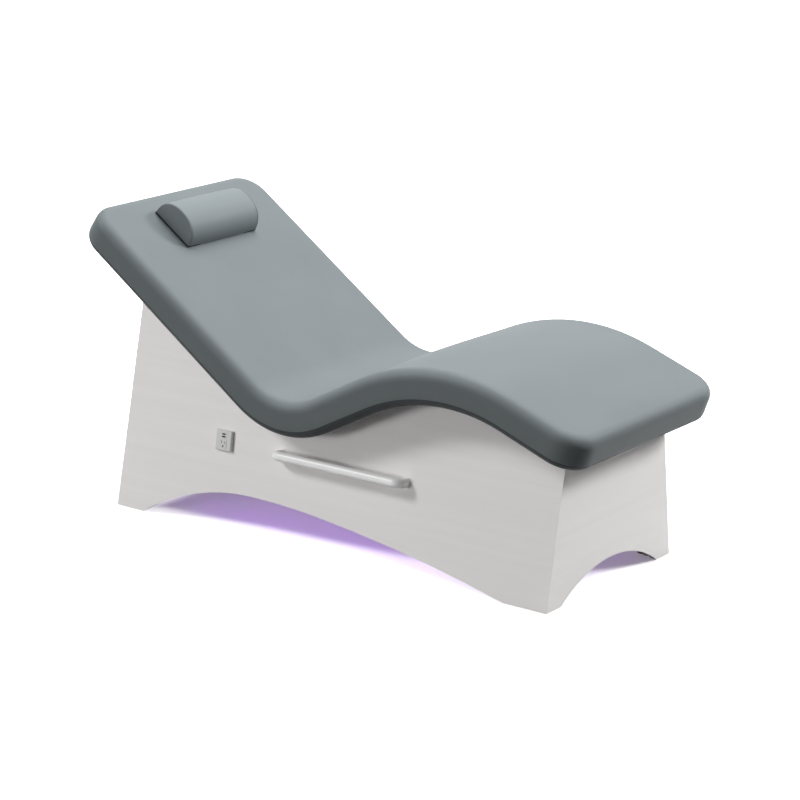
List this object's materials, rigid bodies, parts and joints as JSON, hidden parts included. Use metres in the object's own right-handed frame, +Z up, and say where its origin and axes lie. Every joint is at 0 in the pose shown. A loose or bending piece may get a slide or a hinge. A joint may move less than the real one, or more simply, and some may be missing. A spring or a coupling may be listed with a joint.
{
  "type": "spa relaxation lounger",
  "caption": "Wave-shaped padded relaxation lounger on a splayed, arched panel base with under-light, power outlet, side bar and a half-round head bolster that slides on the back.",
  "frame": {"origin": "on the floor, on the centreline, halfway along the lounger's length", "axes": "+X runs to the foot end, +Y to the user's left side, +Z up"},
  "size_m": [1.7166, 0.71, 0.8881],
  "materials": {
    "laminate": "washed light-grey wood-grain laminate, satin",
    "plywood": "unfinished birch plywood",
    "vinyl": "smooth cool-grey upholstery vinyl, satin",
    "foam": "open-cell polyurethane foam",
    "dust_cloth": "black non-woven cloth",
    "grip_rubber": "matt non-slip rubber",
    "black_plastic": "matt moulded plastic",
    "grey_plastic": "satin light-grey moulded plastic",
    "white_plastic": "satin white plastic",
    "opal_plastic": "translucent opal plastic",
    "aluminium": "anodised, satin",
    "bar_paint": "light-grey powder coat, satin",
    "zinc_steel": "zinc plated"
  },
  "bodies": {
    "base": {"side_panel_right": "laminate", "side_panel_left": "laminate", "head_panel": "laminate", "foot_panel": "laminate", "corner_blocks": "plywood", "block_screws": "zinc_steel", "rib_shoulder": "plywood", "rib_lumbar": "plywood", "rib_seat": "plywood", "rib_knee": "plywood", "deck_rail_right": "plywood", "deck_rail_left": "plywood", "rail_screws": "zinc_steel", "deck": "plywood", "deck_screws": "zinc_steel", "pad_core": "foam", "pad_topper": "foam", "pad_cover": "vinyl", "dust_cover": "dust_cloth", "floor_glides": "black_plastic", "glide_nails": "zinc_steel", "outlet_plate": "grey_plastic", "receptacle": "grey_plastic", "usb_module": "black_plastic", "outlet_box": "zinc_steel", "outlet_screws": "zinc_steel", "towel_bar": "bar_paint", "bar_flanges": "bar_paint", "bar_bolts": "zinc_steel", "bar_washers": "zinc_steel", "led_profile": "aluminium", "led_clips": "zinc_steel", "led_strip": "white_plastic", "led_diffuser": "opal_plastic", "led_driver": "white_plastic", "driver_screws": "zinc_steel", "power_inlet": "black_plastic", "inlet_screws": "zinc_steel", "cable_duct": "white_plastic"},
    "bolster": {"bolster_cover": "vinyl", "bolster_core": "foam", "bolster_base": "grip_rubber"}
  },
  "joints": [
    {"name": "bolster_slide", "type": "slide", "parent": "base", "child": "bolster", "axis": [0.8161, 0, -0.5779], "range_m": [-0.04, 0.3]}
  ]
}
